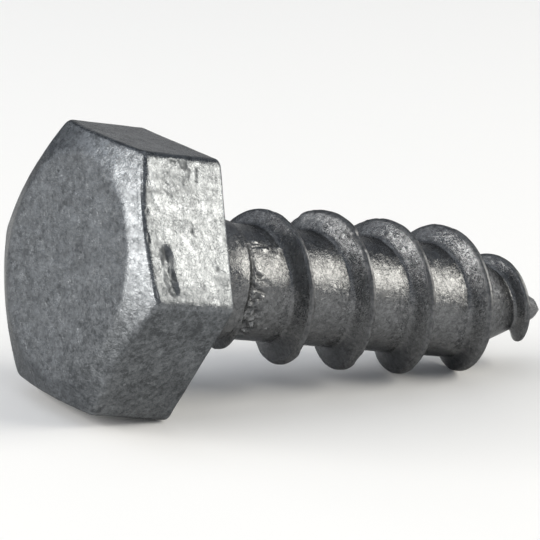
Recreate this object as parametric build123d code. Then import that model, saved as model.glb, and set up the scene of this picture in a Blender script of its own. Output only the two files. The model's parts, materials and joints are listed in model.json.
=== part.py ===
from build123d import *

import os
from math import atan2, cos, degrees, pi, radians, sin, sqrt, tan

# A hot-dip galvanised lag screw: hexagon head, neck fillet, coarse wood thread and gimlet point,
# forged and rolled as one piece. Millimetres and degrees.
# It is drawn with its axis along X, the bearing face at X = 0 and the point towards +X, and is then
# laid down as it comes to rest: on one flat of the head and on the crest of the thread.
# Angles round the axis start at +Z and turn towards -Y, the way a right-hand thread advances.

# Head
ACROSS_FLATS = 17.0
HEAD_HEIGHT = 6.68
SIDE_EDGE_RADIUS = 0.7
FACE_RADIUS = 7.25
CHAMFER_ANGLE = 22.5
FACE_EDGE_RADIUS = 0.8
BEARING_EDGE_BEVEL = 0.2

# Core of the shank, under the thread
ROOT_RADIUS = 3.76
NECK_HEIGHT = 1.6
NECK_LENGTH = 1.45
SHANK_LENGTH = 31.0
POINT_HALF_ANGLE = 23.6
NOSE_RADIUS = 0.8

# Thread ridge
THREAD_HEIGHT = 1.31
POINT_THREAD_HEIGHT = 1.0
PITCH = 4.81
FLANK_HALF_ANGLE = 30.0
CREST_WIDTH = 0.36
ROOT_FILLET = 0.5
RUN_IN_GAP = 0.1
RUN_IN_LENGTH = 9.6
START_ANGLE = 246.2
RUN_OUT_LENGTH = 1.6
RUN_OUT_GAP = 0.45

# How the head's cutter and the ridge are drawn
CUTTER_MARGIN = 1.0
STATIONS = 24
FLANK_ROUNDS = 4
FOOT_DEPTH = 0.12
SUNK_DEPTH = 0.1
SUNK_SHARE = 0.1

# Places along the axis, and counts, that follow from the sizes above
NOSE_CENTRE = SHANK_LENGTH - NOSE_RADIUS
NOSE_TANGENT = NOSE_CENTRE + NOSE_RADIUS * sin(radians(POINT_HALF_ANGLE))
POINT_START = NOSE_CENTRE - (
    ROOT_RADIUS - NOSE_RADIUS / cos(radians(POINT_HALF_ANGLE))
) / tan(radians(POINT_HALF_ANGLE))
RUN_IN_START = NECK_LENGTH + RUN_IN_GAP
THREAD_END = SHANK_LENGTH - RUN_OUT_GAP
RIDGE_LENGTHS = max(round((THREAD_END - RUN_IN_START) / PITCH), 1)


def head():
    """Hexagon prism with soft edges, topped by the cone of the chamfer."""
    corner_radius = ACROSS_FLATS / 2 / cos(radians(30))
    hexagon = RegularPolygon(corner_radius, 6)
    hexagon = fillet(hexagon.vertices(), SIDE_EDGE_RADIUS)
    prism = extrude(Plane.YZ.offset(-HEAD_HEIGHT) * hexagon, HEAD_HEIGHT)
    bearing_edges = prism.faces().sort_by(Axis.X)[-1].edges()
    prism = chamfer(bearing_edges, BEARING_EDGE_BEVEL)
    reach = corner_radius + CUTTER_MARGIN
    drop = (reach - FACE_RADIUS) * tan(radians(CHAMFER_ANGLE))
    profile = make_face(Polyline(
        (-HEAD_HEIGHT, 0),
        (-HEAD_HEIGHT, FACE_RADIUS),
        (drop - HEAD_HEIGHT, reach),
        (CUTTER_MARGIN, reach),
        (CUTTER_MARGIN, 0),
        close=True,
    ))
    face_edge = profile.vertices().sort_by_distance((-HEAD_HEIGHT, FACE_RADIUS))[0]
    profile = fillet(face_edge, FACE_EDGE_RADIUS)
    return prism & revolve(profile, Axis.X, 360)


def core():
    """Round core: flared neck, cylinder, point cone and round nose."""
    neck_radius = ROOT_RADIUS + NECK_HEIGHT
    neck = EllipticalCenterArc(
        (NECK_LENGTH, neck_radius), NECK_LENGTH, NECK_HEIGHT, start_angle=180, arc_size=90
    )
    nose = CenterArc((NOSE_CENTRE, 0), NOSE_RADIUS, 0, 90 - POINT_HALF_ANGLE)
    root_in_head = -HEAD_HEIGHT / 2
    outline = [
        Polyline((SHANK_LENGTH, 0), (root_in_head, 0), (root_in_head, neck_radius), neck @ 0),
        neck,
        Polyline(neck @ 1, (POINT_START, ROOT_RADIUS), nose @ 1),
        nose,
    ]
    return revolve(make_face(outline), Axis.X, 360)


def core_radius(x):
    """Radius of the core at x: cylinder, point cone, round nose, and nothing beyond it."""
    if x <= NOSE_TANGENT:
        return core_line(x)
    return sqrt(max(NOSE_RADIUS**2 - (x - NOSE_CENTRE) ** 2, 0.0))


def core_line(x):
    """Radius of the core, with the point cone carried on under the nose."""
    past_cylinder = max(x - POINT_START, 0.0)
    return ROOT_RADIUS - past_cylinder * tan(radians(POINT_HALF_ANGLE))


def ease(share):
    """Quick at first, then level: how a rolled ridge climbs out of the core."""
    return sin(pi / 2 * min(max(share, 0.0), 1.0))


def ridge_rise(x):
    """0 where the ridge is still inside the core, 1 where it has its full section."""
    run_in = ease((x - RUN_IN_START) / RUN_IN_LENGTH)
    run_out = ease((THREAD_END - x) / RUN_OUT_LENGTH)
    return min(run_in, run_out)


def full_height(x):
    """Height of the crest over the core, lower along the point."""
    along_point = min(max((x - POINT_START) / (SHANK_LENGTH - POINT_START), 0.0), 1.0)
    return THREAD_HEIGHT + (POINT_THREAD_HEIGHT - THREAD_HEIGHT) * along_point


def flank_reach(x, side, crest):
    """How far from the crest at x the flank on that side runs down to the core."""
    reach = CREST_WIDTH / 2
    for _ in range(FLANK_ROUNDS):
        depth = crest - core_line(x + side * reach)
        reach = CREST_WIDTH / 2 + depth * tan(radians(FLANK_HALF_ANGLE))
    return reach


def half_section(x, side):
    """Corners (x, radius) of one side of the full ridge, from its foot up to the crest."""
    height = full_height(x)
    crest = core_line(x) + height
    reach = flank_reach(x, side, crest)
    tangent = ROOT_FILLET * height / THREAD_HEIGHT * tan(radians(45 - FLANK_HALF_ANGLE / 2))
    fillet_top = tangent * cos(radians(FLANK_HALF_ANGLE))
    fillet_in = tangent * sin(radians(FLANK_HALF_ANGLE))
    foot_out = tangent + FOOT_DEPTH * (tangent + fillet_in) / fillet_top
    foot = x + side * (reach + foot_out)
    return [
        (foot, core_line(foot) - FOOT_DEPTH),
        (x + side * (reach - fillet_in), core_line(x + side * reach) + fillet_top),
        (x + side * CREST_WIDTH / 2, crest),
    ]


def ridge_section(x):
    """Corners (x, radius) of the ridge whose crest is at x, from the foot on the head's side."""
    rise = ridge_rise(x)
    crest = core_line(x) + full_height(x)
    sunk_crest = core_radius(x) - SUNK_DEPTH
    corners = []
    for full_x, full_radius in half_section(x, -1) + half_section(x, 1)[::-1]:
        sunk_x = x + SUNK_SHARE * (full_x - x)
        sunk_radius = sunk_crest - SUNK_SHARE * (crest - full_radius)
        corners.append((
            sunk_x + (full_x - sunk_x) * rise,
            sunk_radius + (full_radius - sunk_radius) * rise,
        ))
    return corners


def on_helix(x, radius, crest_x):
    """The point at (x, radius) in the half-plane through the axis that holds the crest."""
    angle = radians(START_ANGLE) + 2 * pi * (crest_x - RUN_IN_START) / PITCH
    return (x, -radius * sin(angle), radius * cos(angle))


def crest_places():
    """Evenly spaced places of the crest along the axis, as many on each length of the ridge."""
    steps = RIDGE_LENGTHS * STATIONS
    return [RUN_IN_START + (THREAD_END - RUN_IN_START) * i / steps for i in range(steps + 1)]


def ridge_sections(places):
    """The ridge's corners in space, one list for each place of the crest."""
    return [[on_helix(x, radius, place) for x, radius in ridge_section(place)] for place in places]


def ridge_length(places):
    """About one turn of the ridge, with a ruled strip between each pair of neighbouring corners."""
    sections = ridge_sections(places)
    rails = [Edge.make_spline(list(corner), parameters=places) for corner in zip(*sections)]
    neighbours = rails[1:] + rails[:1]
    strips = [Face.make_surface_from_curves(*pair) for pair in zip(rails, neighbours)]
    caps = [Face(Wire.make_polygon(sections[end], close=True)) for end in (0, -1)]
    return Solid(Shell(strips + caps))


def thread_ridge():
    """The right-hand ridge as lengths that meet cap to cap."""
    places = crest_places()
    starts = range(0, len(places) - 1, STATIONS)
    return [ridge_length(places[start:start + STATIONS + 1]) for start in starts]


def lean():
    """Tilt at which the head's lower edge and the thread's crest both touch the ground."""
    tilts = []
    for section in ridge_sections(crest_places()):
        for along, _, height in section:
            tilts.append(atan2(ACROSS_FLATS / 2 + height, along + BEARING_EDGE_BEVEL))
    return degrees(min(tilts))


def lag_screw():
    """The whole screw at rest, with the middle of its footprint at the origin."""
    screw = Rot(0, lean(), 0) * (head() + core() + thread_ridge())
    box = screw.bounding_box()
    middle = box.center()
    return Pos(-middle.X, -middle.Y, -box.min.Z) * screw


os.makedirs("parts", exist_ok=True)
screw = lag_screw()
screw.label = "lag_screw"
export_step(screw, "parts/lag_screw.step")
print(f"lean {lean():.2f} degrees, volume {screw.volume:.1f} mm3, valid {screw.is_valid}")
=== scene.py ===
import json
import logging
import math
from dataclasses import dataclass, field, fields
from enum import Enum
from typing import ClassVar

import bmesh
import bpy
import numpy as np
from mathutils import Euler, Matrix, Vector


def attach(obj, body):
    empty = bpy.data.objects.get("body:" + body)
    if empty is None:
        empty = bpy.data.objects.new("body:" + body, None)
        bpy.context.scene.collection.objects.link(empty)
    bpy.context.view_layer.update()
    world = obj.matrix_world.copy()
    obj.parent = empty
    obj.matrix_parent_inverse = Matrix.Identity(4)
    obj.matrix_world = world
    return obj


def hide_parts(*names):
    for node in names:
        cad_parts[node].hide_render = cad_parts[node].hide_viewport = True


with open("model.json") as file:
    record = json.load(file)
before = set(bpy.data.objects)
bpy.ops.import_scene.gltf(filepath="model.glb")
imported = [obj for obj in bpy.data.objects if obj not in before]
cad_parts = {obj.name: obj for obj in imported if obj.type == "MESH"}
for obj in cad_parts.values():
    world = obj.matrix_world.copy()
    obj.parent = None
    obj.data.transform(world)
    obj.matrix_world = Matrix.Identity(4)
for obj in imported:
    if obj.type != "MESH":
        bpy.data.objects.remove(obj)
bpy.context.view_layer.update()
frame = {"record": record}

# Lengths are in millimetres and angles in degrees, unless a comment says otherwise. The screw's
# own frame has its axis along X, the bearing face at X = 0 and the point towards +X. Angles round
# the axis start at +Z and turn towards -Y, the way a right-hand thread advances.
LOG = logging.getLogger("lag_screw")
MM = 0.001
FULL_TURN = 2 * math.pi
Point = tuple[float, float, float]
Colour = tuple[float, float, float]
NodeTree = bpy.types.NodeTree
Socket = bpy.types.NodeSocket

# Sizes that the head and the shank share
ROOT_RADIUS = 3.76
NECK_HEIGHT = 1.6
NECK_LENGTH = 1.45
SEAM = 0.5

# The Mix node's two colour inputs, which other inputs share their names with
COLOUR_A, COLOUR_B = 6, 7


class TreeKind(Enum):
    """The two kinds of node tree that the shapes and the finishes are made of."""

    GEOMETRY = "GeometryNodeTree"
    SHADER = "ShaderNodeTree"


class Section(Enum):
    """The cross-section of a mark in the skin."""

    ROUND = "round"
    VEE = "vee"


class Num:
    """A number that a node tree works out, written with ordinary arithmetic."""

    def __init__(self, tree: NodeTree, socket: Socket) -> None:
        """Wrap one output socket of a tree."""
        self.tree = tree
        self.socket = socket

    def math(self, operation: str, *others: "Num | float", clamp: bool = False) -> "Num":
        """Add a Math node fed with this number and others.

        Args:
            operation: The Math node's operation.
            *others: The other inputs, as numbers or plain values.
            clamp: Whether the result is held between 0 and 1.

        Returns:
            The node's result.
        """
        node = add(self.tree, "ShaderNodeMath", dict(enumerate((self, *others))),
                   operation=operation, use_clamp=clamp)
        return Num(self.tree, node.outputs[0])

    def __add__(self, other: "Num | float") -> "Num":
        """Return the sum."""
        return self.math("ADD", other)

    def __sub__(self, other: "Num | float") -> "Num":
        """Return the difference."""
        return self.math("SUBTRACT", other)

    def __rsub__(self, other: float) -> "Num":
        """Return a plain value less this number."""
        return self.math("MULTIPLY_ADD", -1.0, other)

    def __mul__(self, other: "Num | float") -> "Num":
        """Return the product."""
        return self.math("MULTIPLY", other)

    def __truediv__(self, other: "Num | float") -> "Num":
        """Return the quotient."""
        return self.math("DIVIDE", other)

    def __rtruediv__(self, other: float) -> "Num":
        """Return a plain value divided by this number."""
        return self.math("POWER", -1.0) * other

    def __neg__(self) -> "Num":
        """Return the number with its sign changed."""
        return self.math("MULTIPLY", -1.0)

    def low(self, other: "Num | float") -> "Num":
        """Return the smaller of the two."""
        return self.math("MINIMUM", other)

    def high(self, other: "Num | float") -> "Num":
        """Return the larger of the two."""
        return self.math("MAXIMUM", other)

    def share(self) -> "Num":
        """Return the number held between 0 and 1."""
        return self.math("ADD", 0.0, clamp=True)

    def step(self, start: "Num | float", end: "Num | float") -> "Num":
        """Return a smooth climb from 0 to 1.

        Args:
            start: Where the climb starts.
            end: Where it reaches 1. A plain value below start turns the climb round.

        Returns:
            The share of the climb at this number.
        """
        turned = not isinstance(start, Num) and end < start
        node = add(self.tree, "ShaderNodeMapRange", {
            "Value": self,
            "From Min": end if turned else start,
            "From Max": start if turned else end,
            "To Min": 1.0 if turned else 0.0,
            "To Max": 0.0 if turned else 1.0,
        }, interpolation_type="SMOOTHSTEP")
        return Num(self.tree, node.outputs["Result"])


def feed(tree: NodeTree, slot: Socket, value: object) -> None:
    """Give an input socket its value.

    Args:
        tree: The tree that holds the socket.
        slot: The input.
        value: A number that the tree works out, an output socket, or a plain value.
    """
    if isinstance(value, (Num, bpy.types.NodeSocket)):
        tree.links.new(value.socket if isinstance(value, Num) else value, slot)
    else:
        slot.default_value = value


def add(tree: NodeTree, kind: str, inputs: dict[str | int, object] | None = None,
        **settings: object) -> bpy.types.Node:
    """Add a node to a tree.

    Args:
        tree: The tree.
        kind: The node's type.
        inputs: What its inputs are fed with, by name or by number.
        **settings: Its own settings, which are made first.

    Returns:
        The node.
    """
    node = tree.nodes.new(kind)
    for title, value in settings.items():
        setattr(node, title, value)
    for title, value in (inputs or {}).items():
        feed(tree, node.inputs[title], value)
    return node


@dataclass(frozen=True)
class RestPose:
    """How the screw's own frame lies in the row frame."""

    place: Matrix

    @classmethod
    def from_record(cls, record: dict, head_height: float) -> "RestPose":
        """Read the pose from the drive mount, which sits on the axis in the head's face.

        Args:
            record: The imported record.
            head_height: The head's height.

        Returns:
            The pose.
        """
        drive = next(m for m in record["mounts"] if m["name"] == "hex_drive")
        along = -Vector(drive["axis"]).normalized()
        side = Vector((0.0, 1.0, 0.0))
        turn = Matrix((along, side, along.cross(side))).transposed().to_4x4()
        centre = Vector(drive["pos_m"]) + along * head_height * MM
        return cls(Matrix.Translation(centre) @ turn @ Matrix.Scale(MM, 4))


@dataclass(frozen=True)
class Columns:
    """The lines that run along the whole skin, from the head's face to the tip of the point."""

    count: int = 240
    corners: int = 6
    crowding: float = 0.6

    def angles(self) -> np.ndarray:
        """Return each line's angle in radians, closer together at the head's corners."""
        even = FULL_TURN * np.arange(self.count) / self.count
        return even + self.crowding / self.corners * np.sin(self.corners * even)

    def angle_node(self, column: Num) -> Num:
        """Return the same angle, worked out by a node tree from the line's number."""
        even = column * (FULL_TURN / self.count)
        return even + (even * float(self.corners)).math("SINE") * (self.crowding / self.corners)


def straight(start: np.ndarray, end: np.ndarray, count: int) -> np.ndarray:
    """Return count rows on the straight run from start to end, both included."""
    share = np.linspace(0, 1, count)[:, None, None]
    return start + (end - start) * share


def bend(start: np.ndarray, corner: np.ndarray, end: np.ndarray, count: int) -> np.ndarray:
    """Return count rows on the curve that rounds a corner between start and end."""
    share = np.linspace(0, 1, count)[:, None, None]
    return start * (1 - share) ** 2 + corner * 2 * share * (1 - share) + end * share**2


@dataclass(frozen=True)
class HexHead:
    """The forged head: face, chamfer, six flats, bearing face and the flare under it."""

    across_flats: float = 17.0
    height: float = 6.68
    corner_radius: float = 0.8
    face_radius: float = 7.25
    chamfer_angle: float = 22.5
    face_edge: float = 0.38
    chamfer_edge: float = 0.28
    bearing_edge: float = 0.3
    neck_radius: float = ROOT_RADIUS + NECK_HEIGHT
    raised: float = 0.08
    face_rows: int = 26
    chamfer_rows: int = 8
    side_rows: int = 42
    under_rows: int = 10
    neck_rows: int = 11
    edge_rows: int = 7

    def outline(self, angles: np.ndarray) -> np.ndarray:
        """Return the rounded hexagon's radius.

        Args:
            angles: Angles round the axis, in radians.

        Returns:
            The radius at each of them.
        """
        sixth = np.pi / 3
        off_flat = np.abs((angles + sixth / 2) % sixth - sixth / 2)
        half = self.across_flats / 2
        inner = half - self.corner_radius
        flat_end = np.arctan2(inner * np.tan(sixth / 2), half)
        off_corner = sixth / 2 - off_flat
        reach = inner / np.cos(sixth / 2)
        aside = reach * np.sin(off_corner)
        rounding = np.sqrt(np.maximum(self.corner_radius**2 - aside**2, 0.0))
        rounded = reach * np.cos(off_corner) + rounding
        return np.where(off_flat <= flat_end, half / np.cos(off_flat), rounded)

    def profile(self, outline: np.ndarray) -> np.ndarray:
        """Trace the head from the middle of its face to the start of the shank.

        Args:
            outline: The rounded hexagon's radius at each column.

        Returns:
            An array of rows by columns by (x, radius).
        """
        def ring(x: float, radius: float) -> np.ndarray:
            """Return one row at the same place and radius in every column."""
            return np.broadcast_to((x, radius), (len(outline), 2))

        slope = math.radians(self.chamfer_angle)
        down_cone = np.array([math.sin(slope), math.cos(slope)])
        inward, along = np.array([0.0, -1.0]), np.array([1.0, 0.0])
        drop = (outline - self.face_radius) * math.tan(slope)
        face_corner = ring(-self.height, self.face_radius)
        edge_corner = np.stack([drop - self.height, outline], -1)
        under_corner = np.stack([0 * outline, outline], -1)
        face_end = face_corner + inward * self.face_edge
        cone_start = face_corner + down_cone * self.face_edge
        cone_end = edge_corner - down_cone * self.chamfer_edge
        side_start = edge_corner + along * self.chamfer_edge
        side_end = under_corner - along * self.bearing_edge
        under_start = under_corner + inward * self.bearing_edge
        turns = np.linspace(0, math.acos(1 - SEAM / NECK_LENGTH), self.neck_rows)[1:]
        narrowing = self.neck_radius - ROOT_RADIUS
        neck = [ring(NECK_LENGTH * (1 - math.cos(turn)),
                     self.neck_radius - narrowing * math.sin(turn)) for turn in turns]
        return np.concatenate([
            straight(ring(-self.height, 0.0), face_end, self.face_rows)[:-1],
            bend(face_end, face_corner, cone_start, self.edge_rows)[:-1],
            straight(cone_start, cone_end, self.chamfer_rows)[:-1],
            bend(cone_end, edge_corner, side_start, self.edge_rows)[:-1],
            straight(side_start, side_end, self.side_rows)[:-1],
            bend(side_end, under_corner, under_start, self.edge_rows)[:-1],
            straight(under_start, ring(0.0, self.neck_radius), self.under_rows),
            np.stack(neck),
        ])

    def on_flat(self, side: float, x: float, across: float) -> Point:
        """Return a place on one of the six flats.

        Args:
            side: The direction that the flat faces.
            x: The place along the axis.
            across: The distance from the flat's middle, towards larger angles.

        Returns:
            The place, in the screw's own frame.
        """
        turn = math.radians(side)
        half = self.across_flats / 2
        y = -half * math.sin(turn) - across * math.cos(turn)
        z = half * math.cos(turn) - across * math.sin(turn)
        return x, y, z + self.raised

    def mesh(self, columns: Columns) -> bpy.types.Mesh:
        """Build the head as an open shell that ends where the shank starts.

        Args:
            columns: The lines that the skin is divided into.

        Returns:
            The shell, in the screw's own frame.
        """
        angles = columns.angles()
        rows = self.profile(self.outline(angles))
        x, radius = rows[..., 0], rows[..., 1]
        points = np.stack([x, -radius * np.sin(angles), radius * np.cos(angles)], -1)
        share = np.clip(1 - x / SEAM, 0, 1)
        points[..., 2] += self.raised * share * share * (3 - 2 * share)
        first = np.arange(len(rows) - 1)[:, None] * columns.count
        second = first + columns.count
        here = np.arange(columns.count)[None, :]
        after = (here + 1) % columns.count
        quads = np.stack([first + here, first + after, second + after, second + here], -1)
        mesh = bpy.data.meshes.new("head_shell")
        mesh.from_pydata(points.reshape(-1, 3).tolist(), [], quads.reshape(-1, 4).tolist())
        return mesh


class GimletPoint:
    """The cone and the nose at the end of the core, as numbers that the tree works out."""

    def __init__(self, size: dict[str, Num]) -> None:
        """Work out where the cone and the nose start.

        Args:
            size: The tree's named inputs.
        """
        self.size = size
        half_angle, nose = size["Point Half Angle"], size["Nose Radius"]
        self.nose_centre = size["Length"] - nose
        self.nose_start = self.nose_centre + nose * half_angle.math("SINE")
        self.nose_arc = nose * (math.pi / 2 - half_angle)
        narrowing = size["Root Radius"] - nose / half_angle.math("COSINE")
        self.start = self.nose_centre - narrowing / half_angle.math("TANGENT")

    def core_line(self, at: Num) -> Num:
        """Return the core's radius at a place, with the cone carried on under the nose."""
        slope = self.size["Point Half Angle"].math("TANGENT")
        return self.size["Root Radius"] - (at - self.start).high(0.0) * slope

    def core(self, outline: Num) -> tuple[Num, Num]:
        """Close the core with a nose between a ball and a sharp cone.

        Args:
            outline: The length along the core's outline, which is x up to the nose.

        Returns:
            The place along the axis, and the core's radius there.
        """
        size = self.size
        half_angle, nose = size["Point Half Angle"], size["Nose Radius"]
        beyond = (outline - self.nose_start).high(0.0)
        on_nose = beyond.math("GREATER_THAN", 0.0)
        turn = half_angle + beyond / nose
        gone = beyond / self.nose_arc
        ball_x = self.nose_centre + nose * turn.math("SINE")
        ball_radius = nose * turn.math("COSINE")
        reach = size["Length"] + size["Nose Reach"] - self.nose_start
        sharp_x = self.nose_start + reach * gone
        sharp_radius = nose * half_angle.math("COSINE") * (1.0 - gone)
        nose_x = ball_x + (sharp_x - ball_x) * size["Nose Sharpness"]
        nose_radius = ball_radius + (sharp_radius - ball_radius) * size["Nose Sharpness"]
        cone = self.core_line(outline)
        return outline + on_nose * (nose_x - outline), cone + on_nose * (nose_radius - cone)


@dataclass(frozen=True)
class ThreadedShank:
    """Core, thread and gimlet point, as a Geometry Nodes tree that carries the head's shell on.

    Each plain length and angle is one of the tree's named inputs.
    """

    root_radius: float = ROOT_RADIUS
    start: float = SEAM
    seam_blend: float = 0.5
    neck_height: float = NECK_HEIGHT
    neck_length: float = NECK_LENGTH
    length: float = 31.0
    point_half_angle: float = 23.6
    nose_radius: float = 0.8
    nose_sharpness: float = 0.94
    nose_reach: float = 0.3
    apex_radius: float = 0.0001
    thread_height: float = 1.31
    point_thread_height: float = 1.0
    pitch: float = 4.81
    flank_half_angle: float = 30.0
    crest_width: float = 0.24
    crest_round: float = 0.13
    root_fillet: float = 0.32
    fillet_reach: float = 0.32
    run_in_start: float = 1.55
    run_in_length: float = 9.6
    start_angle: float = 246.2
    run_out_length: float = 1.6
    run_out_gap: float = 0.45
    sunk_depth: float = 0.1
    sunk_share: float = 0.1
    sunk_slope: float = 3.0
    shoulder_height: float = 0.62
    shoulder_length: float = 4.4
    shoulder_waist: float = 0.45
    shoulder_slope: float = 1.15
    shoulder_edge: float = 0.1
    shoulder_foot: float = 0.15
    lump_size: float = 1.7
    lump_height: float = 0.03
    weld_distance: float = 0.0002
    coated_from: float = 0.12
    # Where the first crest lies along the axis as the shoulder rises, and as it falls off again
    shoulder_rise: tuple[float, float] = (2.3, 4.0)
    shoulder_fall: tuple[float, float] = (5.6, 4.5)
    # How far behind the shoulder's end its waist starts, and is full
    waist_span: tuple[float, float] = (0.4, 2.3)
    # Rows from the middle of the crest to its edge, to the foot and to the end of the fillet
    row_stops: tuple[float, float, float] = (2.0, 8.0, 10.5)
    # Strength, fineness and seed of each size of lump
    lump_sizes: tuple[tuple[float, float, float], ...] = ((1.0, 1.0, 1.3), (0.45, 2.7, 6.1))
    rows_per_turn: int = 30
    turns: int = 8

    def on_core(self, x: float, angle: float, above: float = 0.0) -> Point:
        """Return a place on the shank, at a height over the core, in the screw's own frame."""
        turn, radius = math.radians(angle), self.root_radius + above
        return x, -radius * math.sin(turn), radius * math.cos(turn)

    def inputs(self) -> dict[str, float]:
        """Name the tree's inputs.

        Returns:
            This shank's size for each of them, with the angles in radians.
        """
        named = {}
        for item in fields(self):
            if item.type is float:
                value = getattr(self, item.name)
                title = item.name.replace("_", " ").title()
                named[title] = math.radians(value) if title.endswith("Angle") else value
        return named

    def tree(self, columns: Columns, finish: bpy.types.Material) -> NodeTree:
        """Build the tree that adds the threaded shank to the head's shell.

        Args:
            columns: The lines that the skin is divided into.
            finish: The material of the shank.

        Returns:
            The tree.
        """
        tree = bpy.data.node_groups.new("Threaded shank", TreeKind.GEOMETRY.value)
        face = tree.interface
        face.new_socket("Head Shell", in_out="INPUT", socket_type="NodeSocketGeometry")
        for name in self.inputs():
            face.new_socket(name, in_out="INPUT", socket_type="NodeSocketFloat")
        face.new_socket("Skin", in_out="OUTPUT", socket_type="NodeSocketGeometry")
        entry = add(tree, "NodeGroupInput")
        size = {name: Num(tree, entry.outputs[name]) for name in self.inputs()}
        shank = self.grid(tree, columns, size)
        joined = add(tree, "GeometryNodeJoinGeometry", {0: shank})
        tree.links.new(entry.outputs["Head Shell"], joined.inputs[0])
        welded = add(tree, "GeometryNodeMergeByDistance",
                     {"Geometry": joined.outputs[0], "Distance": size["Weld Distance"]})
        lumpy = self.lumps(tree, welded.outputs[0], size)
        real = add(tree, "GeometryNodeRealizeInstances", {0: lumpy})
        place = add(tree, "GeometryNodeInputPosition")
        split = add(tree, "ShaderNodeSeparateXYZ", {0: place.outputs[0]})
        coated = add(tree, "GeometryNodeSetMaterial", {
            "Geometry": real.outputs[0],
            "Selection": Num(tree, split.outputs[0]).math("GREATER_THAN", size["Coated From"]),
            "Material": finish,
        })
        add(tree, "NodeGroupOutput", {0: coated.outputs[0]})
        return tree

    def grid(self, tree: NodeTree, columns: Columns, size: dict[str, Num]) -> Socket:
        """Wrap a sheared grid round the axis, so that its rows follow the thread's helix.

        Args:
            tree: The tree.
            columns: The lines that the skin is divided into.
            size: The tree's named inputs.

        Returns:
            The shank's skin, with crest_share stored on its points.
        """
        row_total = self.rows_per_turn * self.turns + 1
        flat = add(tree, "GeometryNodeMeshGrid",
                   {"Vertices X": columns.count + 1, "Vertices Y": row_total})
        index = Num(tree, add(tree, "GeometryNodeInputIndex").outputs[0])
        column = ((index + 0.5) / float(row_total)).math("FLOOR")
        row = index - column * float(row_total)
        angle = columns.angle_node(column)
        along, radius, crest_share = self.surface(size, row, angle)
        place = add(tree, "ShaderNodeCombineXYZ", {
            0: along, 1: -(radius * angle.math("SINE")), 2: radius * angle.math("COSINE"),
        })
        moved = add(tree, "GeometryNodeSetPosition",
                    {"Geometry": flat.outputs["Mesh"], "Position": place.outputs[0]})
        marked = add(tree, "GeometryNodeStoreNamedAttribute", {
            "Geometry": moved.outputs[0], "Name": "crest_share", "Value": crest_share,
        }, data_type="FLOAT", domain="POINT")
        return marked.outputs[0]

    def lumps(self, tree: NodeTree, skin: Socket, size: dict[str, Num]) -> Socket:
        """Push the skin in and out where the zinc froze thicker or thinner.

        Args:
            tree: The tree.
            skin: The smooth skin.
            size: The tree's named inputs.

        Returns:
            The lumpy skin.
        """
        swell = None
        for strength, fineness, seed in self.lump_sizes:
            noise = add(tree, "ShaderNodeTexNoise", {
                "Scale": fineness / size["Lump Size"], "W": seed, "Detail": 2.0,
                "Distortion": 0.4,
            }, noise_dimensions="4D")
            part = (Num(tree, noise.outputs[0]) - 0.5) * strength
            swell = part if swell is None else swell + part
        normal = add(tree, "GeometryNodeInputNormal")
        outwards = add(tree, "ShaderNodeVectorMath", {
            0: normal.outputs[0], "Scale": swell * size["Lump Height"] * 2.0,
        }, operation="SCALE")
        moved = add(tree, "GeometryNodeSetPosition",
                    {"Geometry": skin, "Offset": outwards.outputs[0]})
        return moved.outputs[0]

    def surface(self, size: dict[str, Num], row: Num, angle: Num) -> tuple[Num, Num, Num]:
        """Work out where a vertex of the sheared grid lies on the threaded shank.

        Args:
            size: The tree's named inputs.
            row: The vertex's row, each of which follows the thread's helix.
            angle: The vertex's angle round the axis, in radians.

        Returns:
            The place along the axis, the radius, and how far up the ridge it is.
        """
        turned = (angle - size["Start Angle"]) / FULL_TURN
        point = GimletPoint(size)
        free = self.along_helix(size, row, turned)
        outline = free.high(size["Start"]).low(point.nose_start + point.nose_arc)
        x, core = point.core(outline)
        short = (size["Neck Length"] - outline).high(0.0) / size["Neck Length"]
        core = core + size["Neck Height"] * (1.0 - (1.0 - short * short).math("SQRT"))
        radius, height = self.ridge(size, point, outline, turned, core)
        radius = self.shoulder(size, outline, turned, radius)
        joint = outline.step(size["Start"], size["Start"] + size["Seam Blend"])
        closed = core.math("GREATER_THAN", size["Apex Radius"])
        radius = (core + (radius - core) * joint) * closed
        return x, radius, ((radius - core) / height).share()

    def along_helix(self, size: dict[str, Num], row: Num, turned: Num) -> Num:
        """Work out where a row lies along the axis, before the ends hold it.

        Args:
            size: The tree's named inputs.
            row: The vertex's row.
            turned: The turns from the start of the thread.

        Returns:
            The place along the axis.
        """
        per_turn = float(self.rows_per_turn)
        guard = 0.25  # of a row, so that rounding can't drop a whole turn
        whole = ((row + guard) / per_turn).math("FLOOR")
        part = row / per_turn - whole
        near = part.low(1.0 - part)
        aside = self.spread(size, near * per_turn)
        second = (part - 0.5).math("GREATER_THAN", 0.0)
        offset = aside + second * (size["Pitch"] - aside * 2.0)
        return size["Run In Start"] + size["Pitch"] * (turned + whole - 1.0) + offset

    def spread(self, size: dict[str, Num], near: Num) -> Num:
        """Set the rows of half a pitch closer on the ridge than on the root.

        Args:
            size: The tree's named inputs.
            near: Rows from the nearest crest.

        Returns:
            The row's distance from the crest.
        """
        half_crest = size["Crest Width"] * 0.5
        foot = half_crest + size["Thread Height"] * size["Flank Half Angle"].math("TANGENT")
        rows = (0.0, *self.row_stops, self.rows_per_turn / 2)
        places = (near * 0.0, half_crest, foot, foot + size["Fillet Reach"], size["Pitch"] * 0.5)
        total = places[0]
        for i in range(len(rows) - 1):
            gain = ((near - rows[i]) / (rows[i + 1] - rows[i])).share()
            total = total + gain * (places[i + 1] - places[i])
        return total

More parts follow.
